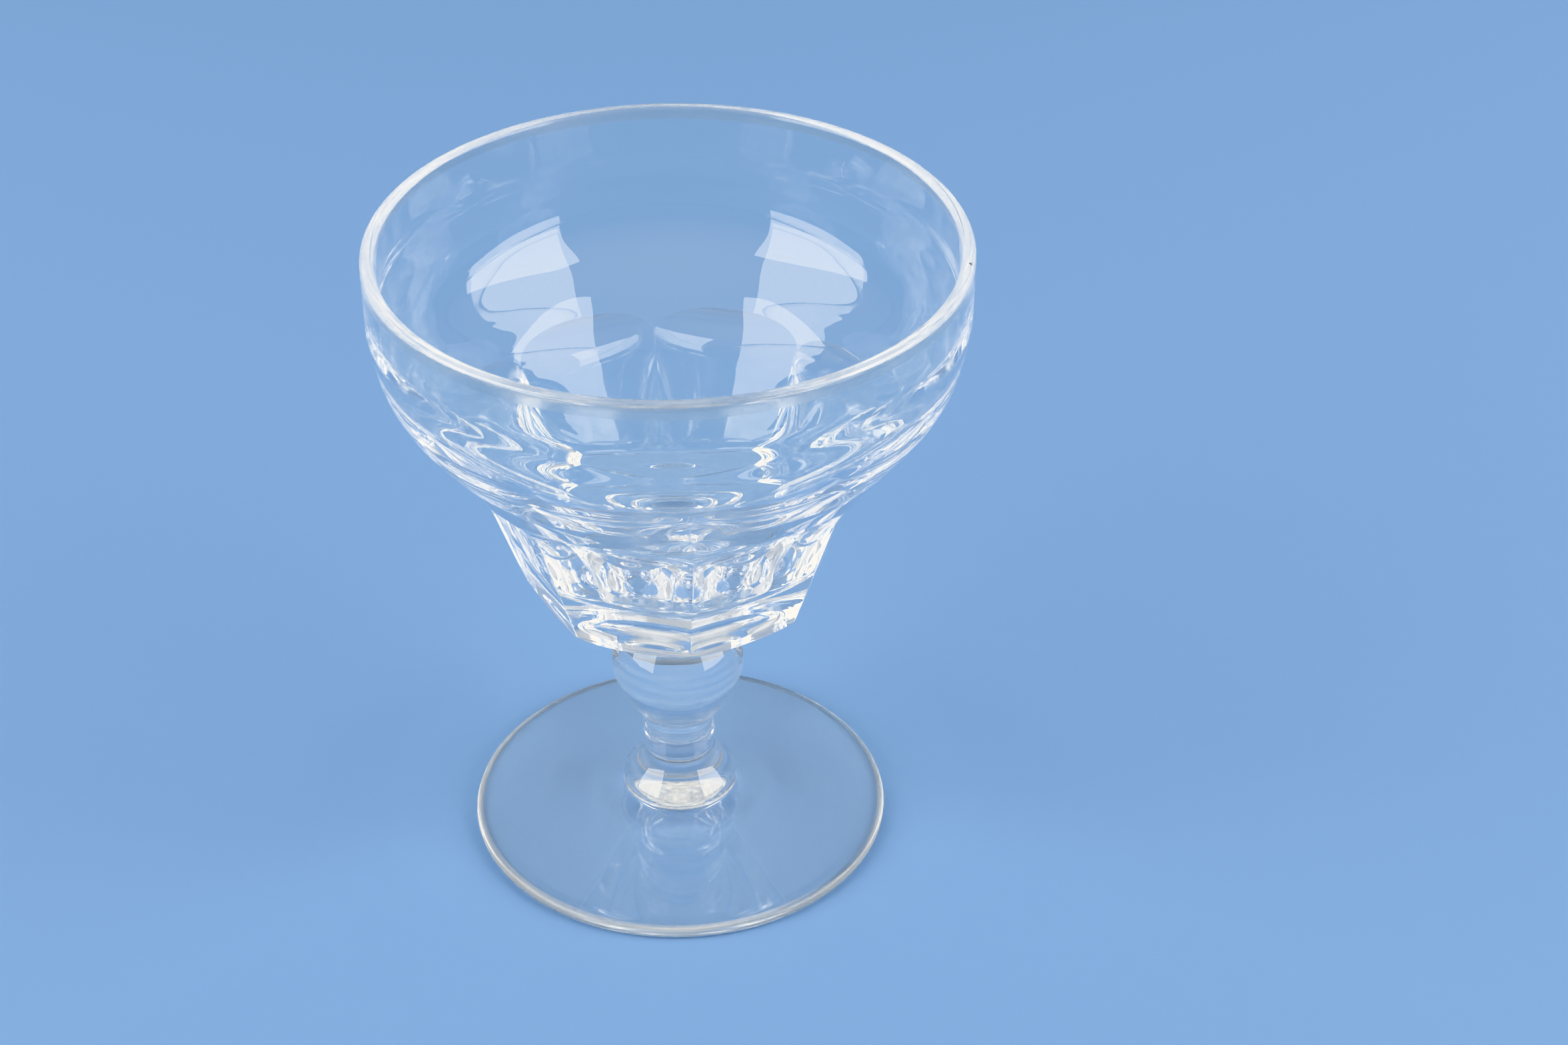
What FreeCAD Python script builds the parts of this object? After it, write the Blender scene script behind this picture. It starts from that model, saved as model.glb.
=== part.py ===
import FreeCAD, Part
import math
import os
from FreeCAD import Vector

os.makedirs("parts", exist_ok=True)

# Rummer glass: bucket bowl with a lower cup cut to eight panels, ball knop, collar with a boss,
# and a disc foot. The pieces were made hot and fused end to end, so each pair shares one flat face.
# Millimetres, +Z up, origin on the table under the middle of the foot, viewer at -Y.

# Heights above the table
total_height = 118.6
bowl_base_height = 51.2
collar_top_height = 18.9
collar_base_height = 7.3

# Bowl, outside. Shares are of the rim radius, and of the depth from the rim's widest circle to the base.
rim_radius = 50.0
rim_wall = 2.3
base_flat_share = 0.42
base_edge_round_share = 0.14
base_edge_turn = 54.0
outer_side_shares = [
    (1.0, 0.151),
    (0.986, 0.2265),
    (0.960, 0.302),
    (0.907, 0.3775),
    (0.830, 0.453),
    (0.7615, 0.528),
    (0.704, 0.5925),
]

# Bowl, inside. Shares are of the radius inside the rim, and of the same depth.
inner_side_shares = [
    (1.0, 0.1109),
    (0.9916, 0.1694),
    (0.9769, 0.2331),
    (0.9556, 0.2792),
    (0.9237, 0.3251),
    (0.8715, 0.3707),
    (0.8132, 0.4143),
    (0.7545, 0.4584),
    (0.7002, 0.504),
    (0.6562, 0.5526),
    (0.6195, 0.6002),
    (0.586, 0.6445),
    (0.5493, 0.6906),
    (0.5126, 0.7358),
    (0.4843, 0.7736),
    (0.4633, 0.8083),
    (0.4423, 0.8355),
    (0.4067, 0.8536),
    (0.3522, 0.8642),
    (0.2725, 0.8679),
    (0.1468, 0.8709),
]
floor_centre_share = 0.8717

# Cut panels: flats that run out upward on the round of the cutting wheel
panel_count = 8
front_arris_turn = 4.8
panel_foot_radius_share = 0.523
panel_foot_rise_share = 0.03
panel_top_radius_share = 0.686
panel_top_drop_share = 0.619
wheel_radius_share = 0.21
wheel_turn = 72.0

# Knop: a ball that flares out again to the bowl above it. Shares are of the ball's radius, and of the
# rise from collar to bowl.
knop_radius = 11.75
knop_shares = [
    (1.183, 1.0),
    (1.149, 0.9721),
    (1.055, 0.9381),
    (0.911, 0.9071),
    (0.757, 0.8793),
    (0.655, 0.8483),
    (0.604, 0.805),
    (0.626, 0.7585),
    (0.694, 0.709),
    (0.791, 0.6625),
    (0.908, 0.6006),
    (0.976, 0.5387),
    (1.0, 0.4675),
    (0.97, 0.3746),
    (0.851, 0.2755),
    (0.732, 0.1981),
    (0.621, 0.1362),
    (0.528, 0.0588),
]
joint_radius = 6.0

# Collar and boss. Shares are of the boss radius, and of the rise from foot to knop.
collar_radius = 6.45
collar_edge_round = 0.3
collar_straight = 3.4
boss_radius = 10.3
boss_shares = [(0.689, 0.4655), (0.908, 0.207), (1.0, 0.052), (1.0, 0.0)]

# Foot
foot_radius = 37.5
foot_edge_thickness = 2.4
foot_rest_width = 3.0
foot_hollow = 1.5
foot_fillet_width = 2.0
foot_fillet_drop = 0.75
pontil_radius = 7.5
pontil_depth = 0.6

overrun = 5.0

rim_height = total_height - rim_wall / 2
bowl_depth = rim_height - bowl_base_height
axis = Vector(0, 0, 1)


def at(radius, height):
    return Vector(radius, 0, height)


def line(start, end):
    return Part.LineSegment(start, end).toShape()


def arc(start, middle, end):
    return Part.Arc(start, middle, end).toShape()


def smooth(points, first=None, last=None):
    curve = Part.BSplineCurve()
    if first is None:
        curve.interpolate(Points=points)
    else:
        curve.interpolate(Points=points, InitialTangent=first, FinalTangent=last)
    return curve.toShape()


def turned(edges):
    face = Part.Face(Part.Wire(edges))
    solid = face.revolve(Vector(0, 0, 0), axis, 360)
    return solid if solid.Volume > 0 else solid.reversed()


def below_rim(radius, drop_share):
    return at(radius, rim_height - drop_share * bowl_depth)


def half_turn(centre, radius, turn):
    angle = math.radians(turn)
    return at(centre.x + radius * math.cos(angle), centre.z + radius * math.sin(angle))


def bowl_blank():
    lip = rim_wall / 2
    lip_centre = at(rim_radius - lip, rim_height)
    inner_radius = rim_radius - rim_wall
    edge_round = base_edge_round_share * rim_radius
    flat_end = at(base_flat_share * rim_radius, bowl_base_height)
    round_centre = at(flat_end.x, bowl_base_height + edge_round)
    round_middle = half_turn(round_centre, edge_round, base_edge_turn / 2 - 90)
    round_end = half_turn(round_centre, edge_round, base_edge_turn - 90)
    outside = [below_rim(share * rim_radius, drop) for share, drop in outer_side_shares]
    inside = [below_rim(share * inner_radius, drop) for share, drop in inner_side_shares]
    floor_centre = below_rim(0, floor_centre_share)
    cup_top = outside[-1]
    outer_side = smooth(outside[::-1], (outside[-2] - cup_top).normalize(), axis)
    inner_side = smooth(inside + [floor_centre], axis * -1, at(-1, 0))
    return turned([
        line(at(0, bowl_base_height), flat_end),
        arc(flat_end, round_middle, round_end),
        line(round_end, cup_top),
        outer_side,
        line(outside[0], at(rim_radius, rim_height)),
        arc(at(rim_radius, rim_height), at(lip_centre.x, total_height), at(inner_radius, rim_height)),
        line(at(inner_radius, rim_height), inside[0]),
        inner_side,
        line(floor_centre, at(0, bowl_base_height)),
    ])


def panel_cutter():
    flat_share = math.cos(math.pi / panel_count)
    foot_height = bowl_base_height + panel_foot_rise_share * bowl_depth
    foot = at(panel_foot_radius_share * flat_share * rim_radius, foot_height)
    flat_top = below_rim(panel_top_radius_share * flat_share * rim_radius, panel_top_drop_share)
    up = (flat_top - foot).normalize()
    out = Vector(up.z, 0, -up.x)
    low_end = foot - up * (overrun + foot_height - bowl_base_height)
    wheel_radius = wheel_radius_share * rim_radius
    wheel_centre = flat_top + out * wheel_radius

    def on_wheel(turn):
        angle = math.radians(turn)
        return wheel_centre - out * (wheel_radius * math.cos(angle)) + up * (wheel_radius * math.sin(angle))

    wheel_end = on_wheel(wheel_turn)
    reach = rim_radius + overrun
    tail = out * math.sin(math.radians(wheel_turn)) + up * math.cos(math.radians(wheel_turn))
    far_top = wheel_end + tail * ((reach - wheel_end.x) / tail.x)
    outline = Part.Wire([
        line(low_end, flat_top),
        arc(flat_top, on_wheel(wheel_turn / 2), wheel_end),
        line(wheel_end, far_top),
        line(far_top, at(reach, low_end.z)),
        line(at(reach, low_end.z), low_end),
    ])
    cutter = Part.Face(outline).extrude(Vector(0, 2 * reach, 0))
    cutter.translate(Vector(0, -reach, 0))
    return cutter


def bowl():
    solid = bowl_blank()
    for index in range(panel_count):
        cutter = panel_cutter()
        turn = front_arris_turn - 90 + (index + 1 / 2) * 360 / panel_count
        cutter.rotate(Vector(0, 0, 0), axis, turn)
        solid = solid.cut(cutter)
    return solid


def stem_knop():
    rise = bowl_base_height - collar_top_height
    side = [at(share * knop_radius, collar_top_height + height * rise) for share, height in knop_shares]
    end = at(joint_radius, collar_top_height)
    return turned([
        line(at(0, bowl_base_height), side[0]),
        smooth(side + [end]),
        line(end, at(0, collar_top_height)),
        line(at(0, collar_top_height), at(0, bowl_base_height)),
    ])


def foot_collar():
    rise = collar_top_height - collar_base_height
    lip = collar_edge_round
    edge = at(collar_radius, collar_top_height - lip)
    edge_start = at(collar_radius - lip, collar_top_height)
    edge_middle = half_turn(at(edge_start.x, edge.z), lip, 45)
    collar_foot = at(collar_radius, edge.z - collar_straight)
    boss = [at(share * boss_radius, collar_base_height + height * rise) for share, height in boss_shares]
    return turned([
        line(at(0, collar_top_height), at(joint_radius, collar_top_height)),
        line(at(joint_radius, collar_top_height), edge_start),
        arc(edge_start, edge_middle, edge),
        line(edge, collar_foot),
        smooth([collar_foot] + boss, axis * -1, axis * -1),
        line(boss[-1], at(0, collar_base_height)),
        line(at(0, collar_base_height), at(0, collar_top_height)),
    ])


def foot():
    half_edge = foot_edge_thickness / 2
    edge_centre = at(foot_radius - half_edge, half_edge)
    edge_top = at(edge_centre.x, foot_edge_thickness)
    edge_bottom = at(edge_centre.x, 0)
    rest_inner = at(edge_centre.x - foot_rest_width, 0)
    seat = at(boss_radius, collar_base_height)
    fillet_end = at(boss_radius + foot_fillet_width, collar_base_height - foot_fillet_drop)
    slope = (edge_top - fillet_end).normalize()
    hollow_rise = foot_hollow * (1 - pontil_radius / rest_inner.x)
    pontil_edge = at(pontil_radius, hollow_rise)
    pontil_wall = at(pontil_radius, hollow_rise + pontil_depth)
    pontil_centre = at(0, hollow_rise + pontil_depth)
    return turned([
        line(at(0, collar_base_height), seat),
        smooth([seat, fillet_end], axis * -1, slope),
        line(fillet_end, edge_top),
        arc(edge_top, at(foot_radius, half_edge), edge_bottom),
        line(edge_bottom, rest_inner),
        line(rest_inner, pontil_edge),
        line(pontil_edge, pontil_wall),
        line(pontil_wall, pontil_centre),
        line(pontil_centre, at(0, collar_base_height)),
    ])


for name, make in (("bowl", bowl), ("stem_knop", stem_knop), ("foot_collar", foot_collar), ("foot", foot)):
    shape = make()
    shape.exportStep(f"parts/{name}.step")
    box = shape.BoundBox
    print(name, shape.isValid(), len(shape.Solids), round(shape.Volume), round(box.ZMin, 2), round(box.ZMax, 2))
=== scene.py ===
import bpy
import numpy as np
from mathutils import Matrix, Vector


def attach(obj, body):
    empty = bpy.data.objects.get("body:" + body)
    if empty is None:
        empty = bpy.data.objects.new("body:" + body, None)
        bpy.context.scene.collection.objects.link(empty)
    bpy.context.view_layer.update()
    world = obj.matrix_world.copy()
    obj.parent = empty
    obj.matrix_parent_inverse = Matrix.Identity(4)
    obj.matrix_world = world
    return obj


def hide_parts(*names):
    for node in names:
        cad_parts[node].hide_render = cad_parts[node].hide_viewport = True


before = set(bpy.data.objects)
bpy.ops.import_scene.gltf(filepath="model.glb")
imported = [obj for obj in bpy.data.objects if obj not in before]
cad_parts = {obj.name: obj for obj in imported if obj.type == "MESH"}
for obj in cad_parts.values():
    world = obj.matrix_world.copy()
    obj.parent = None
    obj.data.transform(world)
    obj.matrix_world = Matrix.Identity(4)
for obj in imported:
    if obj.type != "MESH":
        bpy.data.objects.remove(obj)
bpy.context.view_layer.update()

mm = 0.001  # lengths below are in millimetres, and angles in degrees

# The columns that all four pieces share
columns = {
    "panels": 8,
    "arrisTurn": 4.8,         # from the viewer's side towards +X
    "perPanel": 32,
    "crowding": 1.6,          # draws the columns in towards each arris
}


# A smooth curve through the points: a cubic spline over chord length. Its bend at each point is
# solved so that slopes agree on both sides, with a set direction at each end or none. It is read
# off at evenly spaced places.
def fitCurve(points, count, first=None, last=None):
    points = np.array(points, float)
    along = np.r_[0, np.cumsum(np.hypot(*np.diff(points, axis=0).T))]
    gap = np.diff(along)
    slope = np.diff(points, axis=0) / gap[:, None]
    size = len(points)
    weights = np.zeros((size, size))
    change = np.zeros((size, 2))
    i = np.arange(1, size - 1)
    weights[i, i - 1], weights[i, i + 1] = gap[:-1], gap[1:]
    weights[i, i] = 2 * (gap[:-1] + gap[1:])
    change[1:-1] = 6 * (slope[1:] - slope[:-1])
    weights[0, 0], weights[-1, -1] = 1, 1
    if first is not None:
        weights[0, 0], weights[0, 1] = 2 * gap[0], gap[0]
        change[0] = 6 * (slope[0] - np.array(first, float))
    if last is not None:
        weights[-1, -1], weights[-1, -2] = 2 * gap[-1], gap[-1]
        change[-1] = 6 * (np.array(last, float) - slope[-1])
    bend = np.linalg.solve(weights, change)
    place = np.linspace(0, along[-1], count)
    k = np.clip(np.searchsorted(along, place) - 1, 0, size - 2)
    ahead, behind = (along[k + 1] - place)[:, None], (place - along[k])[:, None]
    span = gap[k][:, None]
    curved = bend[k] * ahead ** 3 / (6 * span) + bend[k + 1] * behind ** 3 / (6 * span)
    return (curved + (points[k] / span - bend[k] * span / 6) * ahead
            + (points[k + 1] / span - bend[k + 1] * span / 6) * behind)


# Points on a round edge: centre plus the radius, turned from the start angle to the end angle
def arcRows(centre, radius, start, end, count):
    turn = np.radians(np.linspace(start, end, count))
    return np.c_[centre[0] + radius * np.cos(turn), centre[1] + radius * np.sin(turn)]


# Points on a straight line: start plus even shares of the way to the end
def lineRows(start, end, count):
    return np.linspace(start, end, count)


# Angles round the glass, closer together near each arris: the arris, plus or minus half a panel
# times a power of an even share
def columnAngles():
    half = 180 / columns["panels"]
    steps = columns["perPanel"] // 2
    side = half * np.linspace(0, 1, steps + 1) ** columns["crowding"]
    panel = np.r_[side[:-1], 2 * half - side[:0:-1]]
    arris = columns["arrisTurn"] + np.arange(columns["panels"])[:, None] * 2 * half
    return np.radians((arris + panel[None, :]).ravel() - 90)


# How far each column is turned from the middle of its panel: the angle past the last arris, less
# half a panel, in radians
def fromPanelMiddle(angles):
    wide = 2 * np.pi / columns["panels"]
    turned = np.mod(angles + np.pi / 2 - np.radians(columns["arrisTurn"]), wide)
    return turned - wide / 2


# Repeats one profile of radius and height for every column
def spread(profile, angles):
    return (np.repeat(profile[:, :1], len(angles), 1), np.repeat(profile[:, 1:], len(angles), 1))


# The finish of each strip between two rows: the first name, except where a span gives another
def stripFinishes(count, names, spans):
    slots = np.zeros(count, int)
    for start, end, name in spans:
        slots[start:end] = names.index(name)
    return slots


# A closed skin: row i, column j stands at radius[i, j] from the axis, turned by angle j, at
# height[i, j]. The first and last rows are single points on the axis, closed by a fan.
def turnedMesh(name, radius, height, angles, slots):
    cols, rings = len(angles), len(radius) - 2
    x = radius[1:-1] * np.cos(angles)
    y = radius[1:-1] * np.sin(angles)
    ring = np.stack([x, y, height[1:-1]], axis=-1).reshape(-1, 3)
    points = np.vstack([[0, 0, height[0, 0]], ring, [0, 0, height[-1, 0]]]) * mm
    here = 1 + np.arange(rings * cols).reshape(rings, cols)
    beside = np.roll(here, -1, axis=1)
    quads = np.stack([here[:-1], beside[:-1], beside[1:], here[1:]], -1).reshape(-1, 4)
    low = np.stack([np.zeros(cols, int), beside[0], here[0]], -1)
    high = np.stack([np.full(cols, len(points) - 1), here[-1], beside[-1]], -1)
    loops = np.r_[quads.ravel(), low.ravel(), high.ravel()]
    sizes = np.r_[np.full(len(quads), 4), np.full(2 * cols, 3)]
    slot = np.r_[np.repeat(slots[1:-1], cols), np.full(cols, slots[0]), np.full(cols, slots[-1])]
    mesh = bpy.data.meshes.new(name)
    mesh.vertices.add(len(points))
    mesh.vertices.foreach_set("co", points.ravel())
    mesh.loops.add(len(loops))
    mesh.loops.foreach_set("vertex_index", loops)
    mesh.polygons.add(len(sizes))
    mesh.polygons.foreach_set("loop_start", np.r_[0, np.cumsum(sizes)[:-1]])
    mesh.polygons.foreach_set("use_smooth", np.ones(len(sizes), bool))
    mesh.polygons.foreach_set("material_index", slot)
    mesh.update(calc_edges=True)
    mesh.validate()
    piece = bpy.data.objects.new(name, mesh)
    bpy.context.scene.collection.objects.link(piece)
    return piece


bowl = {
    "total": 118.6,
    "base": 51.2,
    "rim": 50.0,
    "wall": 2.3,
    "flatShare": 0.42,        # these two are shares of the rim radius
    "edgeRoundShare": 0.14,
    "edgeTurn": 54.0,
    # radius as a share of the rim's, drop as a share of the depth from rim to base
    "outside": [(1.0, 0.151), (0.986, 0.2265), (0.960, 0.302), (0.907, 0.3775), (0.830, 0.453),
                (0.7615, 0.528), (0.704, 0.5925)],
    # radius as a share of the radius inside the rim, and the same drop
    "inside": [(1.0, 0.1109), (0.9916, 0.1694), (0.9769, 0.2331), (0.9556, 0.2792),
               (0.9237, 0.3251), (0.8715, 0.3707), (0.8132, 0.4143), (0.7545, 0.4584),
               (0.7002, 0.504), (0.6562, 0.5526), (0.6195, 0.6002), (0.586, 0.6445),
               (0.5493, 0.6906), (0.5126, 0.7358), (0.4843, 0.7736), (0.4633, 0.8083),
               (0.4423, 0.8355), (0.4067, 0.8536), (0.3522, 0.8642), (0.2725, 0.8679),
               (0.1468, 0.8709), (0.0, 0.8717)],
    "panelFoot": (0.523, 0.03),   # arris radius share, rise share
    "panelTop": (0.686, 0.619),   # arris radius share, drop share
    "wheelShare": 0.21,       # the cutting wheel's radius, of the rim's
    "wheelTurn": 72.0,
    "wheelSteps": 400,
    "belowCut": 10.0,         # how far the flat is followed past its foot
    "pastWheel": 60.0,        # and past the wheel's round
    "seamMargin": 0.15,       # from the fused face to the bare underside
    "blankRows": 1200,        # fine rows where the cuts are looked for
    "rows": {"seam": 3, "underside": 8, "edge": 14, "cut": 72, "side": 90, "straight": 7,
             "lip": 25, "inside": 162},
    "sideCrowding": 1.25,     # draws the side's rows in towards the arched tops
    "finishes": ("bowl", "seam", "cut", "rim", "base"),
}


# A radius, and the height at a share of the depth below the rim
def belowRim(radius, drop):
    rimHeight = bowl["total"] - bowl["wall"] / 2
    return radius, rimHeight - drop * (rimHeight - bowl["base"])


# How far the cut flat lies from the axis: a leaning straight line, then the wheel's arc outward
def panelDistance(height):
    flatShare = np.cos(np.pi / columns["panels"])
    (footShare, footRise), (topShare, topDrop) = bowl["panelFoot"], bowl["panelTop"]
    depth = belowRim(0, 0)[1] - bowl["base"]
    foot = np.array([footShare * flatShare * bowl["rim"], bowl["base"] + footRise * depth])
    top = np.array(belowRim(topShare * flatShare * bowl["rim"], topDrop))
    up = (top - foot) / np.hypot(*(top - foot))
    out = np.array([up[1], -up[0]])
    wheel = bowl["wheelShare"] * bowl["rim"]
    turn = np.radians(np.linspace(0, bowl["wheelTurn"], bowl["wheelSteps"]))[:, None]
    arc = top + out * wheel * (1 - np.cos(turn)) + up * wheel * np.sin(turn)
    low = foot - up * bowl["belowCut"]
    end = np.radians(bowl["wheelTurn"])
    tail = arc[-1] + (out * np.sin(end) + up * np.cos(end)) * bowl["pastWheel"]
    path = np.vstack([low, arc, tail])
    return np.interp(height, np.maximum.accumulate(path[:, 1]), path[:, 0])


# Radius and height at a place along the blank, on the straight line between its two nearest rows
def alongBlank(blank, place):
    steps = np.arange(len(blank))
    return np.interp(place, steps, blank[:, 0]), np.interp(place, steps, blank[:, 1])


# The turned blank from the rounded base edge up to the straight of the rim: an arc, a line and a
# smooth curve
def bowlBlank(outside, flat, edgeRound):
    fine = bowl["blankRows"]
    rise = np.subtract(outside[-2], outside[-1])
    side = fitCurve(outside[::-1], 2 * fine, rise / np.hypot(*rise), (0, 1))
    centre = (flat, bowl["base"] + edgeRound)
    edge = arcRows(centre, edgeRound, -90, bowl["edgeTurn"] - 90, fine)
    return np.vstack([edge, lineRows(edge[-1], outside[-1], fine)[1:], side[1:]])


# The skin runs from the middle of the underside, over the rounded base edge, up the cut panels to
# their arched tops, on up the round side, over the lip, and down the inside to the floor. On a
# panel the radius is the flat's distance over the cosine of the turn from the panel's middle.
def makeBowl(angles):
    rim, lip, base, rows = bowl["rim"], bowl["wall"] / 2, bowl["base"], bowl["rows"]
    rimHeight = belowRim(0, 0)[1]
    outside = [belowRim(share * rim, drop) for share, drop in bowl["outside"]]
    inside = [belowRim(share * (rim - 2 * lip), drop) for share, drop in bowl["inside"]]
    flat = bowl["flatShare"] * rim
    blank = bowlBlank(outside, flat, bowl["edgeRoundShare"] * rim)

    # each column is cut from the first to the last place where the blank stands proud of the flat
    toFlat = np.cos(fromPanelMiddle(angles))
    proud = blank[:, :1] - panelDistance(blank[:, 1])[:, None] / toFlat[None, :]
    j, last = np.arange(len(angles)), len(blank) - 1
    firstCut = np.argmax(proud > 0, axis=0)
    lastCut = last - np.argmax(proud[::-1] > 0, axis=0)
    low = firstCut - proud[firstCut, j] / (proud[firstCut, j] - proud[firstCut - 1, j])
    high = lastCut + proud[lastCut, j] / (proud[lastCut, j] - proud[lastCut + 1, j])
    lowZ, highZ = alongBlank(blank, low)[1], alongBlank(blank, high)[1]

    seam = knop["shares"][0][0] * knop["radius"]
    bottom = np.vstack([
        [0, base], lineRows((seam / 2, base), (seam, base), rows["seam"]),
        lineRows((seam + bowl["seamMargin"], base), (flat, base), rows["underside"])])
    bottomR, bottomZ = spread(bottom, angles)
    edgeR, edgeZ = alongBlank(blank, np.linspace(0, 1, rows["edge"])[1:, None] * low[None, :])
    # rows of the flats lie closer at both their ends
    ease = (1 - np.cos(np.pi * np.linspace(0, 1, rows["cut"])[1:-1, None])) / 2
    cutZ = lowZ + ease * (highZ - lowZ)
    cutR = panelDistance(cutZ) / toFlat
    share = np.linspace(0, 1, rows["side"])[:, None] ** bowl["sideCrowding"]
    sideR, sideZ = alongBlank(blank, share * (last - high)[None, :] + high[None, :])
    upper = np.vstack([
        lineRows((rim, sideZ[-1, 0]), (rim, rimHeight), rows["straight"])[1:-1],
        arcRows((rim - lip, rimHeight), lip, 0, 180, rows["lip"]),
        lineRows((rim - 2 * lip, rimHeight), inside[0], rows["straight"])[1:-1],
        fitCurve(inside, rows["inside"], (0, -1), (-1, 0))])
    upperR, upperZ = spread(upper, angles)
    radius = np.vstack([bottomR, edgeR, cutR, sideR, upperR])
    height = np.vstack([bottomZ, edgeZ, cutZ, sideZ, upperZ])

    cutStart = len(bottomR) + len(edgeR) - 1
    cutEnd = cutStart + 1 + len(cutR)
    lipStart = cutEnd + len(sideR) + rows["straight"] - 3
    lipEnd = lipStart + 1 + rows["lip"]
    slots = stripFinishes(len(radius) - 1, bowl["finishes"], (
        (0, rows["seam"], "seam"), (rows["seam"], cutStart, "base"),
        (cutStart, cutEnd, "cut"), (lipStart, lipEnd, "rim")))
    return turnedMesh("bowl_glass", radius, height, angles, slots)


knop = {
    "radius": 11.75,
    # of the ball's radius, and of the rise from collar to bowl
    "shares": [(1.183, 1.0), (1.149, 0.9721), (1.055, 0.9381), (0.911, 0.9071), (0.757, 0.8793),
               (0.655, 0.8483), (0.604, 0.805), (0.626, 0.7585), (0.694, 0.709), (0.791, 0.6625),
               (0.908, 0.6006), (0.976, 0.5387), (1.0, 0.4675), (0.97, 0.3746), (0.851, 0.2755),
               (0.732, 0.1981), (0.621, 0.1362), (0.528, 0.0588)],
    "rows": {"seam": 3, "side": 190},
    "finishes": ("tooled", "seam"),
}


# A smooth curve through the shares, turned round the axis, with a flat round face at each end
def makeKnop(angles):
    bottom, rows = collar["top"], knop["rows"]
    rise = bowl["base"] - bottom
    side = [(share * knop["radius"], bottom + height * rise) for share, height in knop["shares"]]
    top, low = side[0], (collar["neck"], bottom)
    profile = np.vstack([
        [0, top[1]], lineRows((top[0] / 2, top[1]), top, rows["seam"])[:-1],
        fitCurve(side + [low], rows["side"]),
        lineRows(low, (low[0] / 2, low[1]), rows["seam"])[1:], [0, low[1]]])[::-1]
    slots = stripFinishes(len(profile) - 1, knop["finishes"], (
        (0, rows["seam"], "seam"), (-rows["seam"], None, "seam")))
    return turnedMesh("stem_knop_glass", *spread(profile, angles), angles, slots)


collar = {
    "top": 18.9,
    "base": 7.3,
    "neck": 6.0,
    "radius": 6.45,
    "round": 0.3,
    "straight": 3.4,
    "boss": 10.3,
    # of the boss's radius, and of the rise from foot to knop
    "shares": [(0.689, 0.4655), (0.908, 0.207), (1.0, 0.052), (1.0, 0.0)],
    "rows": {"boss": 60, "straight": 8, "round": 8},
    "finishes": ("tooled", "seam"),
}


# A straight collar with a rounded top edge, and under it the boss, a smooth curve out to the foot
def makeCollar(angles):
    top, base, r, edge = collar["top"], collar["base"], collar["radius"], collar["round"]
    neck, rows = collar["neck"], collar["rows"]
    side = [(share * collar["boss"], base + height * (top - base))
            for share, height in collar["shares"]]
    boss = fitCurve([(r, top - edge - collar["straight"])] + side, rows["boss"], (0, -1), (0, -1))
    profile = np.vstack([
        [0, base], [boss[-1, 0] / 2, base], boss[::-1],
        lineRows(boss[0], (r, top - edge), rows["straight"])[1:-1],
        arcRows((r - edge, top - edge), edge, 0, 90, rows["round"]),
        [neck, top], [neck / 2, top], [0, top]])
    slots = stripFinishes(len(profile) - 1, collar["finishes"], (
        (0, 2, "seam"), (-3, None, "seam")))
    return turnedMesh("foot_collar_glass", *spread(profile, angles), angles, slots)


foot = {
    "radius": 37.5,
    "edge": 2.4,
    "rest": 3.0,              # width of the ring that it stands on
    "hollow": 1.5,
    "filletWide": 2.0,
    "filletDrop": 0.75,
    "pontil": 7.5,
    "pontilDeep": 0.6,
    "scarShare": 0.5,         # of the pontil's radius, what is rough
    "crisp": 0.05,            # rows this close to a corner keep it sharp
    "hollowStart": 0.3,
    "restStart": 0.2,
    "rows": {"hollow": 24, "rest": 6, "edge": 25, "top": 30, "fillet": 14},
    "finishes": ("foot", "seam", "scar", "worn", "edge"),
}


# The pontil's pit, the shallow hollow, the resting ring, a half-round edge, then a straight slope
# up to the fillet under the boss
def makeFoot(angles):
    rows, pontil, crisp = foot["rows"], foot["pontil"], foot["crisp"]
    half = foot["edge"] / 2
    edgeR = foot["radius"] - half
    restIn = edgeR - foot["rest"]
    rise = foot["hollow"] * (1 - pontil / restIn)
    deep = rise + foot["pontilDeep"]
    scar = foot["scarShare"] * pontil
    bossR, seat = collar["boss"], (collar["boss"], collar["base"])
    out = (bossR + foot["filletWide"], collar["base"] - foot["filletDrop"])
    slope = np.array([edgeR - out[0], foot["edge"] - out[1]])
    fillet = fitCurve([seat, out], rows["fillet"], (0, -1), slope / np.hypot(*slope))
    under = np.vstack([
        [0, deep], [scar / 2, deep], [scar, deep], [pontil - crisp, deep],
        [pontil, deep - crisp], [pontil, rise + crisp], [pontil + crisp, rise],
        lineRows((pontil + foot["hollowStart"], rise), (restIn, 0), rows["hollow"]),
        lineRows((restIn + foot["restStart"], 0), (edgeR, 0), rows["rest"])])
    edge = arcRows((edgeR, half), half, -90, 90, rows["edge"])[1:]
    profile = np.vstack([
        under, edge, lineRows((edgeR, foot["edge"]), out, rows["top"])[1:], fillet[::-1][1:],
        [bossR / 2, collar["base"]], [0, collar["base"]]])
    wornEnd = len(under) - 1
    slots = stripFinishes(len(profile) - 1, foot["finishes"], (
        (0, 2, "scar"), (2, wornEnd, "worn"), (wornEnd, wornEnd + len(edge), "edge"),
        (-2, None, "seam")))
    return turnedMesh("foot_glass", *spread(profile, angles), angles, slots)


# sRGB hex to linear: a straight line below the knee, a power of 2.4 above it
def linear(hexCode):
    c = np.array([int(hexCode[i:i + 2], 16) for i in (1, 3, 5)]) / 255
    low = c / 12.92
    high = ((c + 0.055) / 1.055) ** 2.4
    return tuple(np.where(c <= 0.04045, low, high)) + (1.0,)


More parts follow.
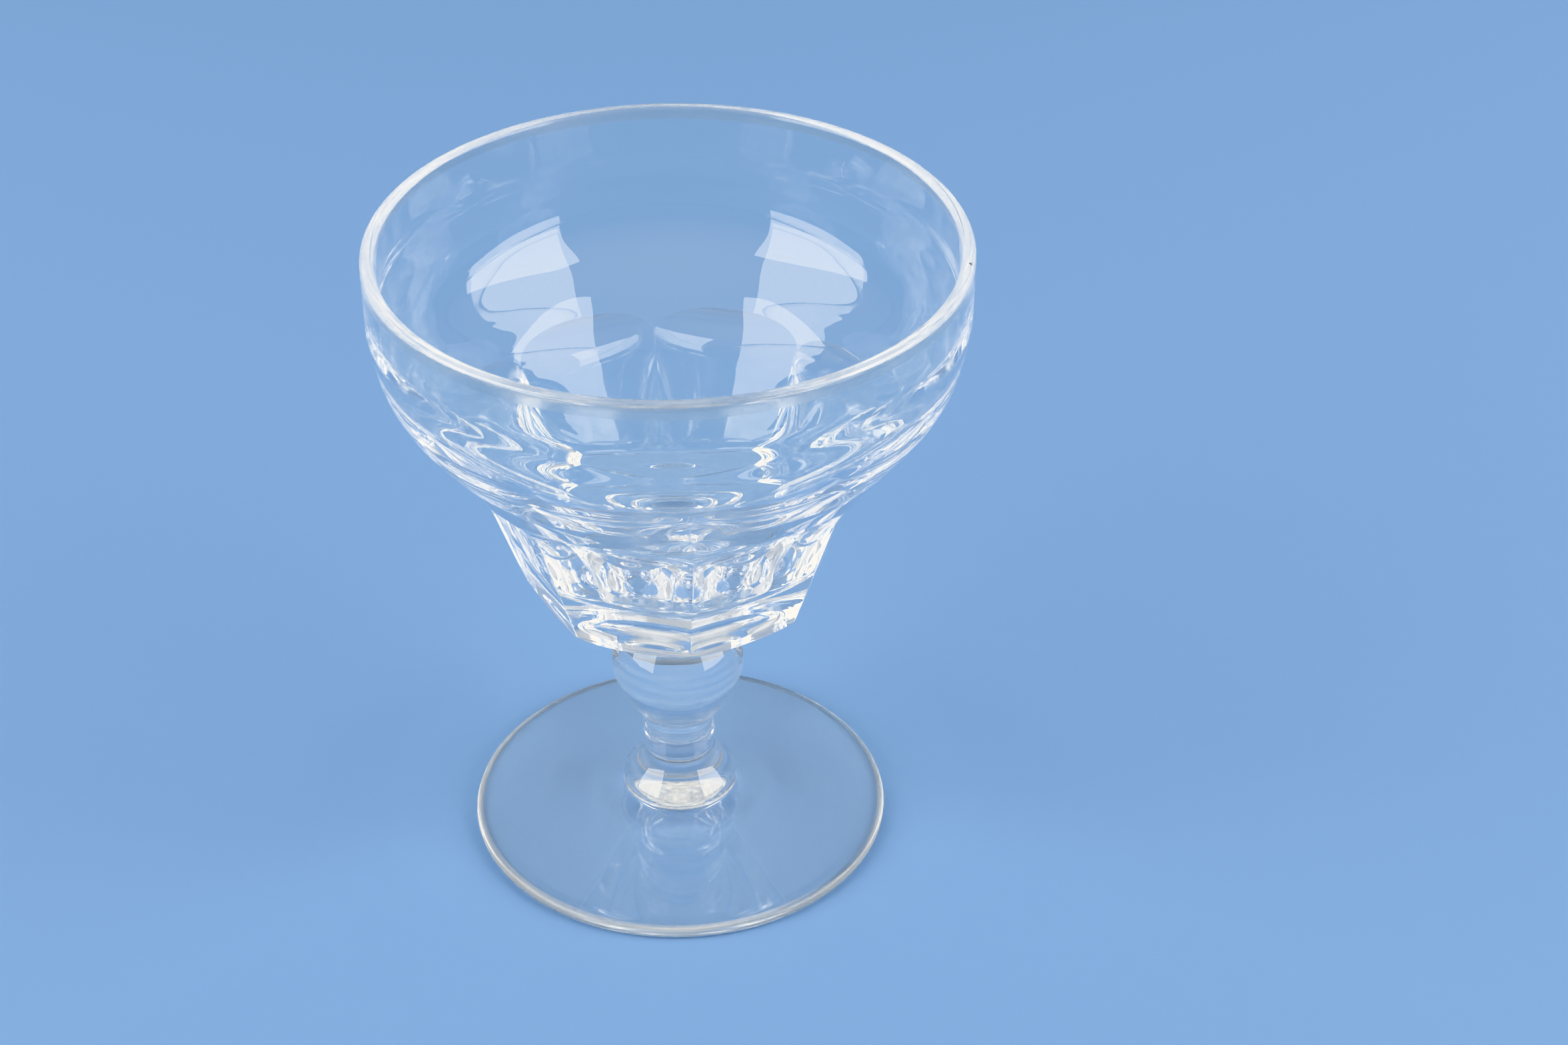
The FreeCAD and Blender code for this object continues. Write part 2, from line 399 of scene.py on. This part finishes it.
# Adds a node with its settings, and links inputs, by name or place, from the sockets given
def addNode(tree, kind, settings=None, links=None):
    node = tree.nodes.new(kind)
    for key, value in (settings or {}).items():
        if isinstance(key, int) or key in node.inputs:
            node.inputs[key].default_value = value
        else:
            setattr(node, key, value)
    for key, source in (links or {}).items():
        tree.links.new(source, node.inputs[key])
    return node


def newMaterial(name):
    material = bpy.data.materials.new(name)
    material.use_nodes = True
    material.node_tree.nodes.clear()
    return material, material.node_tree


# A pattern's scale: one over the distance between its features
def scaleFor(gap):
    return 1 / (gap * mm)


# What all the finishes of lead glass share, unless one says otherwise
leadGlassLook = {
    "ior": 1.54,
    "cast": "#FDFDFB",
    "rough": 0.0,
    "haze": 0.0,              # share of the light that doesn't pass where it is thickest
    "hazeNoise": (0.42, 0.7),     # noise values where haze starts and is thickest
    "hairline": 0.0,          # roughness that a hairline adds
    "hairlineGap": 26.0,
    "hairlineShare": 0.0012,  # half its width, as a share of the noise's range
    "hairlineWander": 0.6,
    "ringDrift": 0.06,        # how fast a ring changes on its way round
    "ringDetail": 2.0,
    "rippleDetail": 1.0,
    "speckWide": 0.6,
    "speckColour": "#3A3632",
}

finishes = {
    "bowl": {"name": "leadGlassBlown", "ringGap": 2.4, "ringDepth": 0.0016, "rippleWide": 11.0,
             "rippleDepth": 0.009, "hairline": 0.12},
    "cut": {"name": "leadGlassCutPolished", "ringGap": 5.0, "ringDepth": 0.002,
            "rippleWide": 7.0, "rippleDepth": 0.012, "hairline": 0.1},
    # the lip's darker grey cast is painted shade, which dims the lamp light seen through it; its
    # roughness and haze are wear
    "rim": {"name": "leadGlassWornRimPaintedShade", "ringGap": 3.0, "ringDepth": 0.002, "rippleWide": 9.0,
            "rippleDepth": 0.02, "rough": 0.14, "haze": 0.07, "cast": "#EFEDE8",
            "speck": (48.4, -9.5, 118.5)},
    "tooled": {"name": "leadGlassTooled", "ringGap": 1.2, "ringDepth": 0.02, "rippleWide": 6.0,
               "rippleDepth": 0.03, "haze": 0.1},
    "base": {"name": "leadGlassTooledBase", "ringGap": 2.2, "ringDepth": 0.05,
             "rippleWide": 5.0, "rippleDepth": 0.05, "haze": 0.04},
    # the foot edge's darker grey cast is painted shade, which dims the lamp light seen through it;
    # its roughness and haze are wear
    "edge": {"name": "leadGlassWornEdgePaintedShade", "ringGap": 3.0, "ringDepth": 0.002, "rippleWide": 9.0,
             "rippleDepth": 0.02, "rough": 0.25, "haze": 0.25, "cast": "#E4E2DA"},
    "foot": {"name": "leadGlassSpunFoot", "ringGap": 4.0, "ringDepth": 0.003,
             "rippleWide": 14.0, "rippleDepth": 0.02},
    "worn": {"name": "leadGlassWornUnderside", "ringGap": 4.0, "ringDepth": 0.003,
             "rippleWide": 10.0, "rippleDepth": 0.02, "rough": 0.01, "haze": 0.01},
}


# Lead glass made by hand: water clear, with a warm grey cast painted on the lip and the foot's
# edge as painted shade, which dims the light that passes there. Tool rings run round it, slow
# ripples bend what is seen through it, and wear leaves hairlines and haze.
def leadGlass(finish):
    finish = {**leadGlassLook, **finish}
    material, tree = newMaterial(finish["name"])
    place = addNode(tree, "ShaderNodeTexCoord").outputs["Object"]
    # rings follow the distance from the axis and the height, and drift a little on their way round
    drift = finish["ringDrift"]
    flat = addNode(tree, "ShaderNodeMapping", {"Scale": (1.0, 1.0, 0.0)}, {"Vector": place})
    away = addNode(tree, "ShaderNodeVectorMath", {"operation": "LENGTH"},
                   {0: flat.outputs["Vector"]})
    outward = addNode(tree, "ShaderNodeCombineXYZ", links={"X": away.outputs["Value"]})
    drawnOut = addNode(tree, "ShaderNodeMapping", {"Scale": (drift, drift, 1.0)},
                       {"Vector": place})
    turned = addNode(tree, "ShaderNodeVectorMath", {"operation": "ADD"},
                     {0: outward.outputs["Vector"], 1: drawnOut.outputs["Vector"]})
    rings = addNode(tree, "ShaderNodeTexNoise", {
        "Scale": scaleFor(finish["ringGap"]), "Detail": finish["ringDetail"]},
        {"Vector": turned.outputs["Vector"]})
    ringed = addNode(tree, "ShaderNodeBump", {"Distance": finish["ringDepth"] * mm},
                     {"Height": rings.outputs["Fac"]})
    ripples = addNode(tree, "ShaderNodeTexNoise", {
        "Scale": scaleFor(finish["rippleWide"]), "Detail": finish["rippleDetail"]},
        {"Vector": place})
    rippled = addNode(tree, "ShaderNodeBump", {"Distance": finish["rippleDepth"] * mm},
                      {"Height": ripples.outputs["Fac"], "Normal": ringed.outputs["Normal"]})
    # the cast tints the light that passes; on the lip and the foot's edge it is darkened as
    # painted shade
    shader = addNode(tree, "ShaderNodeBsdfPrincipled", {
        "Base Color": linear(finish["cast"]), "IOR": finish["ior"],
        "Roughness": finish["rough"], "Transmission Weight": 1.0},
        {"Normal": rippled.outputs["Normal"]})
    if finish["hairline"]:
        # a hairline lies where a slow noise is within a sliver of its middle value. Real ones
        # are finer, and are drawn about 0.1 mm wide so that they show.
        slow = addNode(tree, "ShaderNodeTexNoise", {
            "Scale": scaleFor(finish["hairlineGap"]), "Detail": 0.0,
            "Distortion": finish["hairlineWander"]}, {"Vector": place})
        line = addNode(tree, "ShaderNodeMath", {
            "operation": "COMPARE", 1: 0.5, 2: finish["hairlineShare"]}, {0: slow.outputs["Fac"]})
        rough = addNode(tree, "ShaderNodeMath", {
            "operation": "MULTIPLY_ADD", 1: finish["hairline"], 2: finish["rough"]},
            {0: line.outputs[0]})
        tree.links.new(rough.outputs[0], shader.inputs["Roughness"])
    if finish["haze"]:
        # haze lies in the rings, where tools and tables have rubbed
        thin, thick = finish["hazeNoise"]
        clear = addNode(tree, "ShaderNodeMapRange", {
            "From Min": thin, "From Max": thick, "To Min": 1.0, "To Max": 1 - finish["haze"]},
            {"Value": rings.outputs["Fac"]})
        tree.links.new(clear.outputs[0], shader.inputs["Transmission Weight"])
    if "speck" in finish:
        # one dark speck of grit on the hazy lip, which lets no light through
        gap = addNode(tree, "ShaderNodeVectorMath", {
            "operation": "DISTANCE", 1: [part * mm for part in finish["speck"]]}, {0: place})
        speck = addNode(tree, "ShaderNodeMath", {
            "operation": "LESS_THAN", 1: finish["speckWide"] / 2 * mm}, {0: gap.outputs["Value"]})
        tint = addNode(tree, "ShaderNodeMix", {
            "data_type": "RGBA", 6: linear(finish["cast"]), 7: linear(finish["speckColour"])},
            {0: speck.outputs[0]})
        through = addNode(tree, "ShaderNodeMath", {"operation": "SUBTRACT", "use_clamp": True},
                          {0: clear.outputs[0], 1: speck.outputs[0]})
        tree.links.new(tint.outputs[2], shader.inputs["Base Color"])
        tree.links.new(through.outputs[0], shader.inputs["Transmission Weight"])
    addNode(tree, "ShaderNodeOutputMaterial", links={"Surface": shader.outputs[0]})
    return material


# Hot glass that has run together: the touching faces leave nothing to see
def fusedSeam():
    material, tree = newMaterial("leadGlassFusedSeam")
    shader = addNode(tree, "ShaderNodeBsdfPrincipled", {
        "Base Color": linear("#FFFFFF"), "Alpha": 0.0, "Specular IOR Level": 0.0})
    addNode(tree, "ShaderNodeOutputMaterial", links={"Surface": shader.outputs[0]})
    return material


scarLook = {
    "colour": "#ECE8DF",
    "chipGap": 1.6,
    "chipDepth": 0.5,
    "grainGap": 0.9,
    "grainDepth": 0.25,
    "grainDetail": 4.0,
    "grainNoise": (0.35, 0.65),   # noise values of the clearest and the cloudiest grain
    "clear": (0.75, 0.2),     # share of the light that passes at each
    "rough": 0.45,
}


# Glass snapped off the pontil rod and left rough: it scatters light like crushed ice
def pontilGlass():
    material, tree = newMaterial("leadGlassPontilScar")
    place = addNode(tree, "ShaderNodeTexCoord").outputs["Object"]
    chips = addNode(tree, "ShaderNodeTexVoronoi", {"Scale": scaleFor(scarLook["chipGap"])},
                    {"Vector": place})
    grain = addNode(tree, "ShaderNodeTexNoise", {
        "Scale": scaleFor(scarLook["grainGap"]), "Detail": scarLook["grainDetail"]},
        {"Vector": place})
    chipped = addNode(tree, "ShaderNodeBump", {"Distance": scarLook["chipDepth"] * mm},
                      {"Height": chips.outputs["Distance"]})
    rugged = addNode(tree, "ShaderNodeBump", {"Distance": scarLook["grainDepth"] * mm},
                     {"Height": grain.outputs["Fac"], "Normal": chipped.outputs["Normal"]})
    (fine, coarse), (clearest, cloudiest) = scarLook["grainNoise"], scarLook["clear"]
    frost = addNode(tree, "ShaderNodeMapRange", {
        "From Min": fine, "From Max": coarse, "To Min": clearest, "To Max": cloudiest},
        {"Value": grain.outputs["Fac"]})
    shader = addNode(tree, "ShaderNodeBsdfPrincipled", {
        "Base Color": linear(scarLook["colour"]), "Roughness": scarLook["rough"],
        "IOR": leadGlassLook["ior"]},
        {"Transmission Weight": frost.outputs[0], "Normal": rugged.outputs["Normal"]})
    addNode(tree, "ShaderNodeOutputMaterial", links={"Surface": shader.outputs[0]})
    return material


angles = columnAngles()
glass = {key: leadGlass(finish) for key, finish in finishes.items()}
glass["seam"], glass["scar"] = fusedSeam(), pontilGlass()
print("made", len(glass), "finishes")
for makePiece, form, node in ((makeBowl, bowl, "bowl"), (makeKnop, knop, "stem_knop"),
                              (makeCollar, collar, "foot_collar"), (makeFoot, foot, "foot")):
    piece = makePiece(angles)
    for key in form["finishes"]:
        piece.data.materials.append(glass[key])
    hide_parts(node)
    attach(piece, "root")
    print("made", piece.name, len(piece.data.polygons), "faces")


table = {
    "half": 1000.0,
    "drop": 0.05,             # keeps it clear of the ring that the glass stands on
    "colour": "#7497C3",
    "rough": 0.85,
    "shine": 0.2,
}


# Matt sheet of coloured paper: one flat square, which shows no gloss
def makeTable():
    h, z = table["half"] * mm, -table["drop"] * mm
    mesh = bpy.data.meshes.new("table_top")
    mesh.from_pydata([(-h, -h, z), (h, -h, z), (h, h, z), (-h, h, z)], [], [(0, 1, 2, 3)])
    floor = bpy.data.objects.new("table_top", mesh)
    bpy.context.scene.collection.objects.link(floor)
    material, tree = newMaterial("paperMatte")
    shader = addNode(tree, "ShaderNodeBsdfPrincipled", {
        "Base Color": linear(table["colour"]), "Roughness": table["rough"],
        "Specular IOR Level": table["shine"]})
    addNode(tree, "ShaderNodeOutputMaterial", links={"Surface": shader.outputs[0]})
    mesh.materials.append(material)


# Two large soft boxes, mirror images of each other, seen as patches in the glass
lamps = {
    "place": (1242.4, -207.4, 601.4),
    "facing": 24.7,           # from the viewer's side
    "lean": 38.3,
    "roll": 6.6,
    "wide": 1475.6,
    "high": 816.6,
    "turn": 1.38,             # both boxes round the glass
    "power": 22.0,            # watts each
    "colour": "#FFF6E6",
}


# A box faces back along its own direction, and the other is its mirror image across the glass
def makeLamps():
    facing, lean, roll = (np.radians(lamps[key]) for key in ("facing", "lean", "roll"))
    back = np.array([np.sin(facing) * np.cos(lean), -np.cos(facing) * np.cos(lean), np.sin(lean)])
    level = np.array([np.cos(facing), np.sin(facing), 0])
    rise = np.cross(back, level)
    across = np.cos(roll) * level + np.sin(roll) * rise
    up = np.cos(roll) * rise - np.sin(roll) * level
    roundGlass = Matrix.Rotation(np.radians(lamps["turn"]), 4, "Z")
    for index, side in enumerate((1, -1)):
        mirror = np.array([side, 1, 1])
        axes = np.stack([across * mirror * side, up * mirror, back * mirror], axis=1)
        light = bpy.data.lights.new(f"softbox_{index}", "AREA")
        light.shape = "RECTANGLE"
        light.size, light.size_y = lamps["wide"] * mm, lamps["high"] * mm
        light.energy = lamps["power"]
        light.color = linear(lamps["colour"])[:3]
        lamp = bpy.data.objects.new(light.name, light)
        place = Matrix.Translation(Vector(lamps["place"] * mirror) * mm)
        lamp.matrix_world = roundGlass @ place @ Matrix(axes.tolist()).to_4x4()
        bpy.context.scene.collection.objects.link(lamp)


room = {
    # rise above the horizon, colour, and share of the full strength
    "levels": [(0.0, "#95C4FF", 1.05), (0.25, "#A6CCFA", 1.0), (0.5, "#E2EAF5", 1.1),
               (0.8, "#F6F7F8", 1.25), (1.0, "#FFFFFF", 1.6)],
    "strength": 0.62,
}


# The room's soft light: a colour ramp over the rise, brighter overhead than level with the table
def makeRoom():
    world = bpy.data.worlds.new("room")
    world.use_nodes = True
    tree = world.node_tree
    background = tree.nodes["Background"]
    place = addNode(tree, "ShaderNodeTexCoord")
    split = addNode(tree, "ShaderNodeSeparateXYZ", links={"Vector": place.outputs["Generated"]})
    ramp = addNode(tree, "ShaderNodeValToRGB", links={"Fac": split.outputs["Z"]})
    stops = ramp.color_ramp.elements
    while len(stops) < len(room["levels"]):
        stops.new(0.5)
    for stop, (level, colour, strength) in zip(stops, room["levels"]):
        stop.position = level
        stop.color = [part * strength for part in linear(colour)[:3]] + [1]
    tree.links.new(ramp.outputs["Color"], background.inputs["Color"])
    background.inputs["Strength"].default_value = room["strength"]
    bpy.context.scene.world = world


camera = {
    "distance": 423.5,        # from the axis of the glass, along -Y
    "height": 355.4,          # above the table
    "pitchDown": 34.66,
    "yawRight": 2.56,
    "roll": 0.18,
    "focalPixels": 4459.0,
    "imageWide": 2353.0,
    "sensorWide": 36.0,
    "nearest": 10.0,          # and furthest that the lens takes in
    "furthest": 30000.0,
}


# Forward is yaw and pitch, right is level and square to it, and roll turns right and up together
def makeCamera():
    pitch, yaw, roll = (np.radians(camera[key]) for key in ("pitchDown", "yawRight", "roll"))
    forward = Vector((np.sin(yaw) * np.cos(pitch), np.cos(yaw) * np.cos(pitch), -np.sin(pitch)))
    flatRight = Vector((np.cos(yaw), -np.sin(yaw), 0))
    flatUp = flatRight.cross(forward)
    right = flatRight * np.cos(roll) + flatUp * np.sin(roll)
    up = flatUp * np.cos(roll) - flatRight * np.sin(roll)
    lens = bpy.data.cameras.new("photo_view")
    lens.sensor_width = camera["sensorWide"]
    lens.lens = camera["focalPixels"] / camera["imageWide"] * camera["sensorWide"]
    lens.clip_start, lens.clip_end = camera["nearest"] * mm, camera["furthest"] * mm
    view = bpy.data.objects.new("photo_view", lens)
    turn = Matrix((right, up, -forward)).transposed()
    place = Matrix.Translation(Vector((0, -camera["distance"], camera["height"])) * mm)
    view.matrix_world = place @ turn.to_4x4()
    bpy.context.scene.collection.objects.link(view)
    bpy.context.scene.camera = view


makeTable()
makeLamps()
makeRoom()
makeCamera()

lightBounces = 200            # light is led round inside the wall many times before it leaves
seamLayers = 32               # see-through faces that one path may cross
cycles = bpy.context.scene.cycles
cycles.max_bounces = lightBounces
cycles.transmission_bounces = lightBounces
cycles.glossy_bounces = lightBounces
cycles.transparent_max_bounces = seamLayers
cycles.caustics_reflective = True
cycles.caustics_refractive = True
cycles.blur_glossy = 0
bpy.context.scene.view_settings.view_transform = "Khronos PBR Neutral"
print("stage, lamps, room and camera set")
